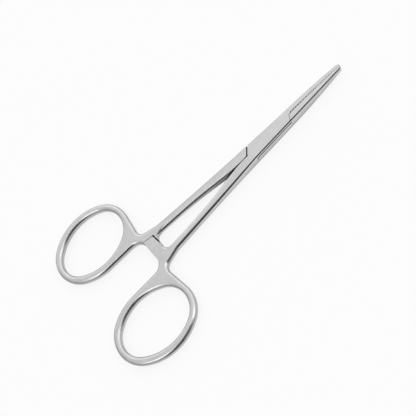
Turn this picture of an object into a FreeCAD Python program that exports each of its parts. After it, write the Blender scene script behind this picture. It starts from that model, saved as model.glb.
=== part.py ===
import FreeCAD, Part
import math
import os

from FreeCAD import Vector

# Straight mosquito haemostat with a box lock, closed on its ratchet.
# X runs from the finger rings to the jaw tip, Y across the instrument, Z up from the table.
# The pivot axis is x = 0, y = 0. Shapes are drawn about the middle plane and lifted at the end.
# Handle pieces are drawn for the tongue half, whose ring is on the +Y side.

# Overall reach from the pivot
jaw_reach = 35.0
ring_reach = 90.0

# Box lock
box_half_length = 8.8
box_rear_width = 6.15
box_front_width = 4.6
box_height = 4.4
box_bevel = 0.36
slot_height = 1.84
slot_radius = 8.95
tongue_proud = 0.15
tongue_play = 0.03
tongue_end_play = 0.05
seam_play = 0.06

# Shoulders, where each half regains its full thickness
rear_shoulder_x = -10.2
rear_shoulder_slope = 0.89
rear_shoulder_gap = 0.58
front_shoulder_x = 10.0
front_shoulder_root = 8.85
front_shoulder_gap = 0.16

# Pivot pin
pin_diameter = 2.2
pin_play = 0.03

# Jaws
jaw_tip_width = 2.15
jaw_tip_height = 2.2
jaw_tip_radius = 1.12
jaw_tip_chamfer = 0.3
jaw_bevel = 0.42
jaw_narrowing = 1.4
jaw_thinning = 1.7
jaw_lean = 0.5
seam_offset_root = 0.28
seam_offset_tip = 0.45
jaw_gap_root = 0.36
jaw_gap_tip = 0.12
serration_pitch = 0.8
serration_depth = 0.42
serration_start = 11.0

# Shanks; the gap between them has the given half widths at shares of its length
shank_root_spread = 13.64
shank_height = 3.0
shank_bevel = 0.62
bevel_fining = 3
swell_start = -44.0
swell_growth = 2
gap_root_half_width = 3.3
gap_half_widths = ((0.14, 2.95), (0.44, 2.05), (0.585, 1.35), (0.765, 0.42))
gap_corner_radius = 2.1
gap_corner_core = 0.5
facet_fade_start = -28.0
facet_least_share = 0.3
soft_facet_width = 0.85
soft_facet_drop = 0.31
steep_facet_width = 0.5
steep_facet_drop = 0.72

# Finger rings, ovals of four arcs
hole_length = 28.15
hole_width = 19.85
hole_front_radius = 8.6
hole_rear_radius = 7.5
end_wall = 2.625
side_wall = 3.075
ring_end_radius = 11.35
ring_height = 3.06
ring_flat = 0.125
ring_offset = 20.15
ring_tilt = 2.0
ring_round_passes = 3
web_front_angle = -10.0
web_rear_angle = -93.0
notch_y = 8.3
notch_radius = 2.6
web_overlap = 1.9
flare_length = 10.5
flare_depth = 0.33
root_radius = 4.2

# Ratchet arms
arm_width = 4.55
arm_end = 4.7
arm_end_play = 0.12
arm_front_taper = 0.5
arm_end_taper = 0.6
arm_corner_radius = 0.4
arm_inset = 0.05
recess_play = 0.15
tooth_count = 3
tooth_pitch = 1.5
tooth_height = 0.4
tooth_slope = 0.8
tooth_crest = 0.1
tooth_play = 0.03
tooth_margin = 0.4

# The rings' bars are rounded but for a narrow flat
ring_length = hole_length + 2 * end_wall
ring_width = hole_width + 2 * side_wall
ring_round = (end_wall - ring_flat) / 2

# The shanks end a little behind the front of the rings, where the ratchet arms begin
shank_root_x = ring_length - ring_reach - web_overlap
arm_front = shank_root_x + arm_width
flare_end_x = shank_root_x + flare_length

# Shares of the way at which lofted bars have a section
section_shares = (0.0, 0.25, 0.5, 0.75, 1.0)

# Cutting bodies reach this far past the metal
past = 5.0


def blend(a, b, t):
    """Value a share t of the way from a to b."""
    return a + (b - a) * t


def share_of(x, start, end):
    """How far x has gone from start to end, from 0 to 1."""
    return min(1.0, max(0.0, (x - start) / (end - start)))


def prism(points, low, high):
    """Straight walls on a closed outline of (x, y) points, from z = low to z = high."""
    corners = [Vector(x, y, low) for x, y in points]
    face = Part.Face(Part.makePolygon(corners + corners[:1]))
    return face.extrude(Vector(0, 0, high - low))


def cross_section(x, outline):
    """Closed wire of (y, z) points in the plane at x."""
    corners = [Vector(x, y, z) for y, z in outline]
    return Part.makePolygon(corners + corners[:1])


def turned_over(shape):
    """The same shape turned half a turn about the X axis, as one half is to the other."""
    result = shape.copy()
    result.rotate(Vector(0, 0, 0), Vector(1, 0, 0), 180)
    return result


def without(shape, tools):
    """The shape less each cutting body in turn."""
    for tool in tools:
        shape = shape.cut(tool)
    return shape


def half_width_at(x):
    """Half width of the closed instrument behind the box, a straight taper."""
    t = (x - shank_root_x) / (-box_half_length - shank_root_x)
    return blend(shank_root_spread, box_rear_width, t) / 2


def half_height_at(x):
    """Half thickness behind the box: even along the shanks, swelling towards the box."""
    return blend(shank_height, box_height, share_of(x, swell_start, -box_half_length) ** swell_growth) / 2


def bevelled_outline(centre, half_width, half_height, bevel):
    """(y, z) corners of a bar's section with four bevelled corners."""
    quarter = [(half_width, half_height - bevel), (half_width - bevel, half_height)]
    upper = quarter + [(-y, z) for y, z in reversed(quarter)]
    return [(centre + y, z) for y, z in upper + [(-y, -z) for y, z in upper]]


def faceted_bar(x_rear, rear, x_front, front):
    """Flat-faced bar between two sections with as many corners."""
    a = [Vector(x_rear, y, z) for y, z in rear]
    b = [Vector(x_front, y, z) for y, z in front]
    faces = [Part.Face(Part.makePolygon(a + a[:1])), Part.Face(Part.makePolygon(b + b[:1]))]
    for i in range(len(a)):
        faces.append(Part.Face(Part.makePolygon([a[i - 1], a[i], b[i], b[i - 1], a[i - 1]])))
    return Part.Solid(Part.Shell(faces))


def rear_envelope():
    """Outside of both shanks, from the ratchet to the box."""
    wires = []
    for t in section_shares:
        x = blend(shank_root_x, -box_half_length, t)
        bevel = blend(shank_bevel, box_bevel, t ** bevel_fining)
        wires.append(cross_section(x, bevelled_outline(0, half_width_at(x), half_height_at(x), bevel)))
    return Part.makeLoft(wires, True)


def box_envelope(proud):
    """Outside of the box, with flat faces; its sides stand proud by the given amount."""
    rear = bevelled_outline(0, box_rear_width / 2 + proud, box_height / 2, box_bevel)
    front = bevelled_outline(0, box_front_width / 2 + proud, box_height / 2, box_bevel)
    return faceted_bar(-box_half_length, rear, box_half_length, front)


def front_envelope():
    """Outside of both jaws, fining down to the tip and leaning a little to one side."""
    wires = []
    for t in section_shares:
        x = blend(box_half_length, jaw_reach, t)
        width = blend(box_front_width, jaw_tip_width, t ** jaw_narrowing)
        height = blend(box_height, jaw_tip_height, t ** jaw_thinning)
        bevel = blend(box_bevel, jaw_bevel, t)
        wires.append(cross_section(x, bevelled_outline(jaw_lean * t, width / 2, height / 2, bevel)))
    return Part.makeLoft(wires, True)


def tip_waste():
    """What is ground away to leave a round, chamfered tip."""
    centre_x = jaw_reach - jaw_tip_radius
    half = jaw_tip_height / 2 + jaw_tip_chamfer / 2
    post = Part.makeCylinder(jaw_tip_radius, 2 * half, Vector(centre_x, jaw_lean, -half))
    post = post.makeChamfer(jaw_tip_chamfer, [edge for edge in post.Edges if edge.Closed])
    block = prism([(centre_x, -past), (jaw_reach + past, -past), (jaw_reach + past, past),
                   (centre_x, past)], -past, past)
    return block.cut(post)


def facet_profile(wall, top, share):
    """(offset, z) points of the two ground facets that rise from the gap's wall to the top face."""
    soft_z = top - soft_facet_drop * share
    steep_y = wall + steep_facet_width * share
    soft_y = steep_y + soft_facet_width * share
    return [(wall, soft_z - steep_facet_drop * share), (steep_y, soft_z), (soft_y, top),
            (soft_y + soft_facet_width, top + soft_facet_drop)]


def shank_gap():
    """Space between the shanks, with two ground facets on each inner edge."""
    start_x = arm_front + gap_corner_radius
    wires = []
    for t, wall in ((0.0, gap_root_half_width),) + gap_half_widths + ((1.0, 2 * seam_play),):
        x = blend(start_x, rear_shoulder_x, t)
        share = blend(1.0, facet_least_share, share_of(x, facet_fade_start, rear_shoulder_x))
        side = facet_profile(wall, half_height_at(x), share)
        upper = side + [(-y, z) for y, z in reversed(side)]
        wires.append(cross_section(x, upper + [(-y, -z) for y, z in upper]))
    return Part.makeLoft(wires, True)


def gap_corner():
    """Rounded end of the gap beside the +Y shank: the facets run round it and fade at the arm."""
    axis = Vector(arm_front + gap_corner_radius, gap_root_half_width - gap_corner_radius, 0)
    wires = []
    for t in section_shares:
        share = blend(1.0, facet_least_share, t)
        side = facet_profile(gap_corner_radius, shank_height / 2, share)
        upper = side + [(gap_corner_core, side[-1][1])]
        outline = upper + [(r, -z) for r, z in reversed(upper)]
        angle = (1 + t) * math.pi / 2
        corners = [axis + Vector(r * math.cos(angle), r * math.sin(angle), z) for r, z in outline]
        wires.append(Part.makePolygon(corners + corners[:1]))
    return Part.makeLoft(wires, True)


def gap_end():
    """Plain middle of the gap's rear end, between its two rounded corners."""
    front_x = arm_front + gap_corner_radius
    half = gap_root_half_width - gap_corner_radius
    middle = prism([(arm_front, -half), (front_x, -half), (front_x, half), (arm_front, half)], -past, past)
    posts = [Part.makeCylinder(2 * gap_corner_core, 2 * past, Vector(front_x, y, -past)) for y in (half, -half)]
    return middle.fuse(posts)


def closed_blank():
    """Both halves together without rings, closed, before the lock and the jaws are cut."""
    blank = rear_envelope().fuse([box_envelope(0), front_envelope()])
    corner = gap_corner()
    return without(blank, [shank_gap(), corner, turned_over(corner), gap_end(), tip_waste()])


def rear_shoulder(shift):
    """Slanting line of the left shoulder, moved back by shift, from the seam outwards."""
    side = half_width_at(-box_half_length) + past
    return [(rear_shoulder_x - shift, 0), (rear_shoulder_x - shift + rear_shoulder_slope * side, side)]


def front_shoulder(shift):
    """Line of the right shoulder, moved forward by shift, from outside to the seam."""
    side = box_front_width / 2 - box_bevel
    return [(front_shoulder_root + shift, -side - past), (front_shoulder_root + shift, -side),
            (front_shoulder_x + shift, 0)]


def jaw_face(side):
    """Serrated line between the jaws, on the +Y (side = 1) or -Y (side = -1) edge of the gap."""
    points = []
    count = int((jaw_reach - serration_start) / (serration_pitch / 2)) + 2
    for step in range(count):
        x = serration_start + step * serration_pitch / 2
        t = share_of(x, serration_start, jaw_reach)
        seam = blend(seam_offset_root, seam_offset_tip, t)
        wave = serration_depth / 2 if step % 2 else -serration_depth / 2
        points.append((x, seam + wave + side * blend(jaw_gap_root, jaw_gap_tip, t) / 2))
    return points


def lock_cavity():
    """Through slot of the box half, which the tongue swings in."""
    low, high = -slot_height / 2, slot_height / 2
    disc = Part.makeCylinder(slot_radius, slot_height, Vector(0, 0, low))
    rear = prism([(rear_shoulder_x - past, -seam_play), (0, -seam_play), (0, 2 * past),
                  (rear_shoulder_x - past, 2 * past)], low, high)
    front = prism([(0, seam_play), (serration_start, seam_play), (serration_start, -2 * past),
                   (0, -2 * past)], low, high)
    return disc.fuse([rear, front])


def tongue_space():
    """Room for the tongue inside the slot, less its running clearances."""
    half = slot_height / 2 - tongue_play
    disc = Part.makeCylinder(slot_radius - tongue_end_play, 2 * half, Vector(0, 0, -half))
    rear_x = rear_shoulder_x - 2 * rear_shoulder_gap
    rear = prism([(rear_x, seam_play), (0, seam_play), (0, 2 * past), (rear_x, 2 * past)], -half, half)
    front = prism([(0, -seam_play), (front_shoulder_x, -seam_play), (front_shoulder_x, -2 * past),
                   (0, -2 * past)], -half, half)
    return disc.fuse([rear, front])


def pin_post(play):
    """Cylinder on the pivot axis, widened by play all round."""
    reach = box_height / 2 + past
    return Part.makeCylinder(pin_diameter / 2 + play, 2 * reach, Vector(0, 0, -reach))


def box_half_body(blank):
    """Box, its jaw on the +Y side and its shank on the -Y side."""
    rear_x = shank_root_x - past
    rear = [(rear_x, -seam_play), (rear_shoulder_x, -seam_play)] + rear_shoulder(0)
    rear_space = prism(rear + [(rear_x, rear[-1][1])], -past, past)
    front = front_shoulder(0) + jaw_face(1)
    front_x = jaw_reach + past
    front_space = prism(front + [(front_x, front[-1][1]), (front_x, front[0][1])], -past, past)
    return without(blank, [rear_space, front_space, lock_cavity(), pin_post(0)])


def tongue_half_body(blank):
    """Tongue, its jaw on the -Y side and its shank on the +Y side."""
    rear_x = shank_root_x - past
    rear = [(rear_x, seam_play), (rear_shoulder_x - rear_shoulder_gap, seam_play)]
    rear += rear_shoulder(rear_shoulder_gap)[1:]
    rear_part = blank.common(prism(rear + [(rear_x, rear[-1][1])], -past, past))
    front = front_shoulder(front_shoulder_gap)
    front = front[:-1] + [(front[-1][0], -seam_play)] + jaw_face(-1)
    front_x = jaw_reach + past
    front_part = blank.common(prism(front + [(front_x, front[-1][1]), (front_x, front[0][1])], -past, past))
    tongue = box_envelope(tongue_proud).common(tongue_space())
    neck = blank.common(tongue_space())
    return rear_part.fuse([neck, tongue, front_part]).cut(pin_post(pin_play))


def ring_place(x, y):
    """Point given in the ring's own axes, turned by its tilt and set beside the centre line."""
    angle = math.radians(ring_tilt)
    centre_x = ring_length / 2 - ring_reach
    return Vector(centre_x + x * math.cos(angle) - y * math.sin(angle),
                  ring_offset + x * math.sin(angle) + y * math.cos(angle), 0)


def ring_point(arc, angle):
    """Point at the given angle on an arc of (centre x, centre y, radius) in the ring's axes."""
    return ring_place(arc[0] + arc[2] * math.cos(angle), arc[1] + arc[2] * math.sin(angle))


def ring_arc(arc, start, end):
    return Part.Arc(ring_point(arc, start), ring_point(arc, (start + end) / 2), ring_point(arc, end)).toShape()


def oval(length, width, front_radius, rear_radius):
    """Front, upper, rear and lower arcs of an oval, with the two angles where they meet."""
    front_x = length / 2 - front_radius
    rear_x = rear_radius - length / 2
    slope = (front_radius - rear_radius) / (front_x - rear_x)
    middle = (front_x ** 2 - rear_x ** 2 - front_radius ** 2 + rear_radius ** 2) / (2 * (front_x - rear_x))
    b = 2 * front_radius - width - 2 * slope * (front_x - middle)
    c = (front_x - middle) ** 2 + width ** 2 / 4 - front_radius ** 2
    side_radius = 2 * c / (math.sqrt(b * b - 4 * slope * slope * c) - b)
    side_x = middle + slope * side_radius
    side_y = side_radius - width / 2
    arcs = ((front_x, 0, front_radius), (side_x, -side_y, side_radius),
            (rear_x, 0, rear_radius), (side_x, side_y, side_radius))
    return arcs, math.atan2(side_y, front_x - side_x), math.atan2(side_y, rear_x - side_x)


def rounded_corner(before, corner, after, radius):
    """Arc that rounds a corner between two straight runs, with its two ends."""
    back = (before - corner).normalize()
    on = (after - corner).normalize()
    half = back.getAngle(on) / 2
    start = corner + back * (radius / math.tan(half))
    end = corner + on * (radius / math.tan(half))
    bisector = (back + on).normalize()
    middle = corner + bisector * (radius / math.sin(half) - radius)
    return Part.Arc(start, middle, end).toShape(), start, end


def line(a, b):
    return Part.LineSegment(a, b).toShape()


def ring_plate():
    """Finger ring with the web that joins it to the shank, edges rounded."""
    arcs, near, far = oval(ring_length, ring_width, ring_end_radius, ring_end_radius)
    at_front, at_rear = math.radians(web_front_angle), math.radians(web_rear_angle)
    rim = [ring_arc(arcs[0], at_front, near), ring_arc(arcs[1], near, far),
           ring_arc(arcs[2], far, 2 * math.pi - far), ring_arc(arcs[3], -far, at_rear)]
    front, rear = ring_point(arcs[0], at_front), ring_point(arcs[3], at_rear)
    tilt = math.radians(ring_tilt)
    notch_x = front.x + (front.y - notch_y) * math.tan(at_front + tilt)
    root_y = rear.y + (shank_root_x - rear.x) / math.tan(-at_rear - tilt)
    notch = Vector(notch_x, notch_y, 0)
    root = Vector(shank_root_x, root_y, 0)
    flare_end = Vector(flare_end_x, half_width_at(flare_end_x) - flare_depth, 0)
    root_arc, root_start, root_end = rounded_corner(rear, root, Vector(shank_root_x, 0, 0), root_radius)
    notch_arc, notch_start, notch_end = rounded_corner(flare_end, notch, front, notch_radius)
    seen = rim + [line(rear, root_start), root_arc, line(flare_end, notch_start), notch_arc,
                  line(notch_end, front)]
    foot = root_end + Vector(ring_round, 0, 0)
    blunt = flare_end - Vector(0, ring_round, 0)
    buried = [line(root_end, foot), line(foot, blunt), line(blunt, flare_end)]
    hole_arcs, near, far = oval(hole_length, hole_width, hole_front_radius, hole_rear_radius)
    hole = [ring_arc(hole_arcs[0], -near, near), ring_arc(hole_arcs[1], near, far),
            ring_arc(hole_arcs[2], far, 2 * math.pi - far), ring_arc(hole_arcs[3], -far, -near)]
    face = Part.Face(Part.Wire(Part.__sortEdges__(seen + buried)))
    face = face.cut(Part.Face(Part.Wire(Part.__sortEdges__(hole))))
    face.translate(Vector(0, 0, -ring_height / 2))
    plate = face.extrude(Vector(0, 0, ring_height)).Solids[0]
    return softened(plate, seen + hole)


def softened(plate, paths):
    """Rounds the plate's rims over the plan paths: each pass halves the turn between its flats."""
    for step in range(ring_round_passes):
        turn = math.pi / 4 / 2 ** step
        leg = ring_round * (math.tan(turn) - math.tan(turn / 2))
        plate = plate.makeChamfer(leg, rims_beside(plate, paths))
    return plate


def rims_beside(plate, paths):
    """Edges of the plate that run beside the middle of the given plan paths, near its two faces."""
    found = []
    for path in paths:
        mid = path.valueAt((path.FirstParameter + path.LastParameter) / 2)
        for edge in plate.Edges:
            point = edge.valueAt((edge.FirstParameter + edge.LastParameter) / 2)
            near = math.hypot(point.x - mid.x, point.y - mid.y) < ring_round
            if near and abs(point.z) > ring_height / 2 - ring_round:
                found.append(edge)
    return found


def arm_outer_face():
    return shank_height / 2 - arm_inset


def arm_inner_face():
    return tooth_height + tooth_play


def ratchet_arm():
    """Lower ratchet arm of the tongue half, reaching across to the other shank."""
    root_y = gap_root_half_width - gap_corner_radius
    front_root = Vector(arm_front, root_y, 0)
    front_tip = Vector(arm_front - arm_front_taper, arm_end_taper - arm_end, 0)
    rear_tip = Vector(shank_root_x, -arm_end, 0)
    rear_root = Vector(shank_root_x, root_y, 0)
    front_arc, a0, a1 = rounded_corner(front_root, front_tip, rear_tip, arm_corner_radius)
    rear_arc, b0, b1 = rounded_corner(front_tip, rear_tip, rear_root, arm_corner_radius)
    edges = [line(front_root, a0), front_arc, line(a1, b0), rear_arc, line(b1, rear_root),
             line(rear_root, front_root)]
    face = Part.Face(Part.Wire(Part.__sortEdges__(edges)))
    face.translate(Vector(0, 0, -arm_outer_face()))
    return face.extrude(Vector(0, 0, arm_outer_face() - arm_inner_face()))


def arm_recess():
    """Room in the shank's upper half for the end of the other half's arm."""
    rear_x = shank_root_x - past
    front_x = arm_front + recess_play
    reach = arm_end + arm_end_play
    return prism([(rear_x, -2 * past), (front_x, -2 * past), (front_x, reach - arm_end_taper),
                  (shank_root_x, reach), (rear_x, reach)], -arm_inner_face(), past)


def ratchet_teeth():
    """Saw teeth on the arm's inner face: sloped the closing way, steep the opening way."""
    base = -arm_inner_face()
    row = -tooth_count * tooth_pitch / 2
    profile = [(row, base - tooth_height / 2)]
    for tooth in range(tooth_count):
        y = row + tooth * tooth_pitch
        crest = y + tooth_slope * tooth_pitch
        profile += [(y, base), (crest, base + tooth_height),
                    (crest + tooth_crest * tooth_pitch, base + tooth_height),
                    (y + tooth_pitch * (1 - tooth_crest / 2), base)]
    profile.append((profile[-1][0], profile[0][1]))
    face = Part.Face(cross_section(shank_root_x + tooth_margin, profile))
    return face.extrude(Vector(arm_front - arm_front_taper - shank_root_x - 2 * tooth_margin, 0, 0))


def with_handle(body):
    """Adds the finger ring and the ratchet arm to a half whose shank is on the +Y side."""
    whole = body.fuse([ring_plate(), ratchet_arm()])
    return whole.cut(arm_recess()).fuse(ratchet_teeth()).removeSplitter()


def build():
    blank = closed_blank()
    tongue_half = with_handle(tongue_half_body(blank))
    box_half = turned_over(with_handle(turned_over(box_half_body(blank))))
    pivot_pin = box_envelope(0).common(pin_post(0))
    return {"box_half": box_half, "tongue_half": tongue_half, "pivot_pin": pivot_pin}


os.makedirs("parts", exist_ok=True)
for name, shape in build().items():
    shape.translate(Vector(0, 0, box_height / 2))
    shape.exportStep("parts/" + name + ".step")
    print(name, shape.isValid(), shape.ShapeType, len(shape.Solids), round(shape.Volume, 2), shape.BoundBox)
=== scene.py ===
import math

import bpy
from mathutils import Euler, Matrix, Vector

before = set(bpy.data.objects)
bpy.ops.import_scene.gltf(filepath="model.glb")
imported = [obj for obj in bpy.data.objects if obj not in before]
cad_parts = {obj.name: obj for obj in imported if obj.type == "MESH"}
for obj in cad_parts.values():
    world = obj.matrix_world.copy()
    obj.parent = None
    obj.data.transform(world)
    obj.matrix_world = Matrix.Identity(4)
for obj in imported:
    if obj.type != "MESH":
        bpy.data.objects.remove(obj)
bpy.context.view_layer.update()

# The camera, a short telephoto above the ring end, looks down steeply across the instrument.
# It stands as the photograph's did, with the jaws pointing up to the right.
camera_place = Vector((-0.02417, -0.11818, 0.22089))
camera_turn = Euler((math.radians(19.337), math.radians(20.487), math.radians(-40.494)))
lens_length = 60.58
sensor_width = 36.0
lens = bpy.data.cameras.new("camera")
lens.sensor_width = sensor_width
lens.lens = lens_length
camera = bpy.data.objects.new("camera", lens)
camera.location = camera_place
camera.rotation_euler = camera_turn
bpy.context.scene.collection.objects.link(camera)
bpy.context.scene.camera = camera

# The table, a wide sheet of white card just under the instrument.
# It shows almost white to the camera and in the steel, darker where the steel mirrors it at a low
# angle, and keeps the faint shadow.
floor_size = 3.0
floor_gap = 0.00005
card_colour = (0.93, 0.93, 0.93, 1.0)
card_roughness = 0.9
card_gloss = 0.1
whiteness = 0.86
mirrored_slant = (0.18, 0.5)
mirrored_far = 0.52
bpy.ops.mesh.primitive_plane_add(size=floor_size)
floor = bpy.context.object
floor.name = "floor"
floor.location.z = -floor_gap
card = bpy.data.materials.new("white_card")
card.use_nodes = True
nodes, links = card.node_tree.nodes, card.node_tree.links
paper = nodes["Principled BSDF"]
paper.inputs["Base Color"].default_value = card_colour
paper.inputs["Roughness"].default_value = card_roughness
paper.inputs["Specular IOR Level"].default_value = card_gloss
glow = nodes.new("ShaderNodeEmission")
ray = nodes.new("ShaderNodeLightPath")
mirrored = nodes.new("ShaderNodeMath")
mirrored.operation = "MAXIMUM"
seen = nodes.new("ShaderNodeMath")
seen.operation = "MAXIMUM"
share = nodes.new("ShaderNodeMath")
share.operation = "MULTIPLY"
share.inputs[1].default_value = whiteness
slant = nodes.new("ShaderNodeLayerWeight")
steep = nodes.new("ShaderNodeMapRange")
steep.inputs["From Min"].default_value = mirrored_slant[0]
steep.inputs["From Max"].default_value = mirrored_slant[1]
steep.inputs["To Min"].default_value = 1.0
steep.inputs["To Max"].default_value = mirrored_far
strength = nodes.new("ShaderNodeMath")
strength.operation = "MAXIMUM"
mix = nodes.new("ShaderNodeMixShader")
links.new(slant.outputs["Facing"], steep.inputs["Value"])
links.new(steep.outputs["Result"], strength.inputs[0])
links.new(ray.outputs["Is Camera Ray"], strength.inputs[1])
links.new(strength.outputs[0], glow.inputs["Strength"])
links.new(ray.outputs["Is Glossy Ray"], mirrored.inputs[0])
links.new(ray.outputs["Is Transmission Ray"], mirrored.inputs[1])
links.new(ray.outputs["Is Camera Ray"], seen.inputs[0])
links.new(mirrored.outputs[0], seen.inputs[1])
links.new(seen.outputs[0], share.inputs[0])
links.new(share.outputs[0], mix.inputs["Fac"])
links.new(paper.outputs["BSDF"], mix.inputs[1])
links.new(glow.outputs["Emission"], mix.inputs[2])
links.new(mix.outputs["Shader"], nodes["Material Output"].inputs["Surface"])
floor.data.materials.append(card)

# The studio, a pale tent over the table, with a dark opening on the -Y side where the camera stands.
# A high lamp at each side of the opening draws the white ends of the rings' bars, and the opening
# draws the dark lines along the bevels.
tent_level = 0.92
tent_slope = 0.4
low_level = 0.6
low_heights = (0.05, 0.6)
far_gain = 0.3
far_start = (0.5, 0.8)
zenith_gain = 0.16
zenith_heights = (0.965, 0.985)
wall_top = (0.93, 0.975)
opening_loss = 0.92
opening_edge = (math.radians(30), math.radians(36))
lamp_level = 2.1
lamp_start = (math.radians(33), math.radians(39))
lamp_end = (math.radians(62), math.radians(84))
lamp_foot = (0.6, 0.72)
world = bpy.data.worlds.new("studio")
bpy.context.scene.world = world
world.use_nodes = True
nodes, links = world.node_tree.nodes, world.node_tree.links
backdrop = nodes["Background"]
place = nodes.new("ShaderNodeTexCoord")
axes = nodes.new("ShaderNodeSeparateXYZ")
links.new(place.outputs["Generated"], axes.inputs["Vector"])


def tent_math(operation, a, b=None):
    """Math node of the tent; a and b are sockets or numbers."""
    node = nodes.new("ShaderNodeMath")
    node.operation = operation
    for value, socket in zip((a, b), node.inputs):
        if isinstance(value, (int, float)):
            socket.default_value = value
        elif value is not None:
            links.new(value, socket)
    return node.outputs[0]


def product(a, b):
    """Product of two sockets or numbers in the tent."""
    return tent_math("MULTIPLY", a, b)


def total(a, b):
    """Sum of two sockets or numbers in the tent."""
    return tent_math("ADD", a, b)


def rise(value, low, high):
    """Smooth rise from 0 to 1 as value passes from low to high."""
    node = nodes.new("ShaderNodeMapRange")
    node.interpolation_type = "SMOOTHSTEP"
    links.new(value, node.inputs["Value"])
    node.inputs["From Min"].default_value = low
    node.inputs["From Max"].default_value = high
    return node.outputs["Result"]


def fall(value, low, high):
    """Smooth fall from 1 to 0 as value passes from low to high."""
    return rise(value, high, low)


height = axes.outputs["Z"]
aside = tent_math("ABSOLUTE", axes.outputs["X"])
turn = tent_math("ARCTAN2", aside, product(axes.outputs["Y"], -1.0))
walls = fall(height, *wall_top)
opening = product(fall(turn, *opening_edge), walls)
lamp_width = product(rise(turn, *lamp_start), fall(turn, *lamp_end))
lamps = product(lamp_width, product(walls, rise(height, *lamp_foot)))
level = total(low_level, product(rise(height, *low_heights), tent_level - low_level))
level = product(level, total(1.0, product(axes.outputs["X"], tent_slope)))
level = total(level, product(rise(axes.outputs["Y"], *far_start), far_gain))
level = total(level, product(rise(height, *zenith_heights), zenith_gain))
level = total(level, product(lamps, tent_math("SUBTRACT", lamp_level, level)))
level = product(level, tent_math("SUBTRACT", 1.0, product(opening, opening_loss)))
ray = nodes.new("ShaderNodeLightPath")
level = tent_math("MAXIMUM", level, ray.outputs["Is Camera Ray"])
links.new(level, backdrop.inputs["Strength"])
backdrop.inputs["Color"].default_value = (1.0, 1.0, 1.0, 1.0)

# The two halves, forged and ground stainless steel, tumbled to a satin finish.
# Each is one forging: finger ring, shank, ratchet arm, lock and jaw; they cross at the box lock.
half_colour = (0.64, 0.64, 0.64)
half_roughness = 0.24
cloud_scale = 260.0
cloud_detail = 3.0
cloud_break = 0.6
cloud_spread = (0.3, 0.7)
cloud_tone = (0.94, 1.05)
cloud_dulling = 0.04
grain_scale = 5200.0
grain_detail = 2.0
grain_break = 0.5
grain_height = 2.5e-6
# Painted shade: reach and limits of the colour darkening in seams and beside the table and other
# surfaces.
seam_shade_reach = 0.0009
seam_shade_limits = (0.42, 0.92)
shade_reach = 0.005
shade_limits = (0.1, 0.9)
shade_floor = 0.03
# The edge mask smooths the roughness as wear and lightens the colour as a painted highlight.
edge_width = 0.0003
edge_limits = (0.99, 0.9)
painted_edge_highlight = 0.06
edge_polish = 0.05
seam_samples = 8
edge_samples = 6


def add_node(tree, kind, settings=(), **inputs):
    """Adds a node; the inputs are sockets to link or plain values, with _ for a blank in a name."""
    node = tree.nodes.new(kind)
    for key, value in settings:
        setattr(node, key, value)
    for name, value in inputs.items():
        socket = node.inputs[name.replace("_", " ")]
        if isinstance(value, bpy.types.NodeSocket):
            tree.links.new(value, socket)
        else:
            socket.default_value = value
    return node


def ranged(tree, value, limits, start, end):
    """Value carried from the range of its limits to start..end, and held at its ends."""
    node = add_node(tree, "ShaderNodeMapRange", Value=value, From_Min=limits[0], From_Max=limits[1],
                    To_Min=start, To_Max=end)
    return node.outputs["Result"]


def joined(tree, operation, *values):
    """Math node on two sockets or numbers."""
    node = tree.nodes.new("ShaderNodeMath")
    node.operation = operation
    for value, socket in zip(values, node.inputs):
        if isinstance(value, bpy.types.NodeSocket):
            tree.links.new(value, socket)
        else:
            socket.default_value = value
    return node.outputs[0]


def new_group(name, inputs, outputs):
    """Empty node group with the named number sockets, and its two end nodes."""
    group = bpy.data.node_groups.new(name, "ShaderNodeTree")
    for socket in inputs:
        group.interface.new_socket(socket, in_out="INPUT", socket_type="NodeSocketFloat")
    for socket in outputs:
        group.interface.new_socket(socket, in_out="OUTPUT", socket_type="NodeSocketFloat")
    return group, group.nodes.new("NodeGroupInput"), group.nodes.new("NodeGroupOutput")


# Openness of the surface, from 0 deep in a seam or close beside the table and other surfaces, to 1; it
# darkens the colour there as painted shade.
seams, given, result = new_group("painted_seam_shade", ("Seam Reach", "Shade Reach"), ("Open",))
fine = add_node(seams, "ShaderNodeAmbientOcclusion", (("samples", seam_samples),),
                Distance=given.outputs["Seam Reach"])
wide = add_node(seams, "ShaderNodeAmbientOcclusion", (("samples", seam_samples),),
                Distance=given.outputs["Shade Reach"])
seam_shade_factor = ranged(seams, fine.outputs["AO"], seam_shade_limits, 0.0, 1.0)
wide_shade_factor = ranged(seams, wide.outputs["AO"], shade_limits, shade_floor, 1.0)
seams.links.new(joined(seams, "MULTIPLY", seam_shade_factor, wide_shade_factor), result.inputs["Open"])

# Tumbled grain, cloudy patches a few millimetres wide over specks a tenth of a millimetre wide.
grain, given, result = new_group("tumbled_grain", ("Cloud Scale", "Grain Scale"), ("Cloud", "Grain"))
place = grain.nodes.new("ShaderNodeTexCoord").outputs["Object"]
cloud = add_node(grain, "ShaderNodeTexNoise", Vector=place, Scale=given.outputs["Cloud Scale"],
                 Detail=cloud_detail, Roughness=cloud_break)
speck = add_node(grain, "ShaderNodeTexNoise", Vector=place, Scale=given.outputs["Grain Scale"],
                 Detail=grain_detail, Roughness=grain_break)
grain.links.new(cloud.outputs["Fac"], result.inputs["Cloud"])
grain.links.new(speck.outputs["Fac"], result.inputs["Grain"])

# Handled edges, which tumbling and use leave a little smoother than the faces; the mask also lightens
# their colour as a painted highlight.
edges, given, result = new_group("worn_edges_and_painted_sheen", ("Width",), ("Edge",))
rounded = add_node(edges, "ShaderNodeBevel", (("samples", edge_samples),), Radius=given.outputs["Width"])
flat = edges.nodes.new("ShaderNodeNewGeometry")
likeness = edges.nodes.new("ShaderNodeVectorMath")
likeness.operation = "DOT_PRODUCT"
edges.links.new(rounded.outputs["Normal"], likeness.inputs[0])
edges.links.new(flat.outputs["Normal"], likeness.inputs[1])
edges.links.new(ranged(edges, likeness.outputs["Value"], edge_limits, 0.0, 1.0), result.inputs["Edge"])


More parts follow.
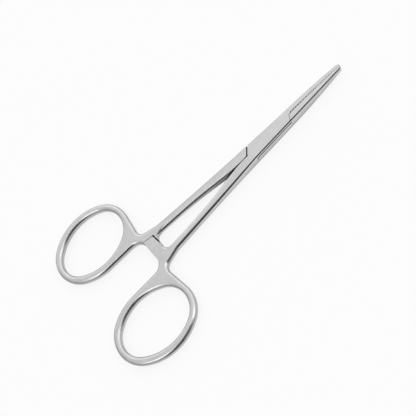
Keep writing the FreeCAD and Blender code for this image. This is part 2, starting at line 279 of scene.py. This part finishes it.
def steel_finish(name, colour, roughness, speck_scale):
    """Satin stainless steel with its grain, smoother worn edges with a painted highlight, and painted
    shade in seams and near other surfaces.
    """
    finish = bpy.data.materials.new(name)
    finish.use_nodes = True
    tree = finish.node_tree
    steel = tree.nodes["Principled BSDF"]
    steel.inputs["Metallic"].default_value = 1.0
    # Openness for the painted shade in seams and beside other surfaces.
    painted_shade_factor = add_node(tree, "ShaderNodeGroup", (("node_tree", seams),), Seam_Reach=seam_shade_reach,
                      Shade_Reach=shade_reach).outputs["Open"]
    grained = add_node(tree, "ShaderNodeGroup", (("node_tree", grain),), Cloud_Scale=cloud_scale,
                       Grain_Scale=speck_scale)
    edge = add_node(tree, "ShaderNodeGroup", (("node_tree", edges),), Width=edge_width).outputs["Edge"]
    tone = ranged(tree, grained.outputs["Cloud"], cloud_spread, *cloud_tone)
    # Painted highlight: the edge mask lightens the colour along edges.
    tone = joined(tree, "ADD", tone, joined(tree, "MULTIPLY", edge, painted_edge_highlight))
    tinted = tree.nodes.new("ShaderNodeVectorMath")
    tinted.operation = "SCALE"
    tinted.inputs[0].default_value = colour
    # Painted shade: the openness darkens the colour in seams and beside other surfaces.
    tree.links.new(joined(tree, "MULTIPLY", tone, painted_shade_factor), tinted.inputs["Scale"])
    tree.links.new(tinted.outputs["Vector"], steel.inputs["Base Color"])
    gloss = ranged(tree, grained.outputs["Cloud"], cloud_spread, roughness + cloud_dulling,
                   roughness - cloud_dulling)
    gloss = joined(tree, "SUBTRACT", gloss, joined(tree, "MULTIPLY", edge, edge_polish))
    tree.links.new(gloss, steel.inputs["Roughness"])
    pits = add_node(tree, "ShaderNodeBump", Height=grained.outputs["Grain"], Strength=1.0,
                    Distance=grain_height)
    tree.links.new(pits.outputs["Normal"], steel.inputs["Normal"])
    return finish


satin = steel_finish("satin_steel", half_colour, half_roughness, grain_scale)
for name in ("box_half", "tongue_half"):
    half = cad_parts[name]
    half.data.materials.clear()
    half.data.materials.append(satin)

# The pivot pin, a short round of harder steel through box and tongue.
# It is riveted and ground flush, so its ends carry a slightly finer and darker grain than the box.
pin_colour = (0.63, 0.63, 0.63)
pin_roughness = 0.21
pin_grain_scale = 8000.0
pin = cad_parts["pivot_pin"]
pin.data.materials.clear()
pin.data.materials.append(steel_finish("pin_steel", pin_colour, pin_roughness, pin_grain_scale))

# The dressed part keeps the size of its solids.
# The colours are shown as they are, without a film look.
bpy.context.scene.view_settings.view_transform = "Standard"
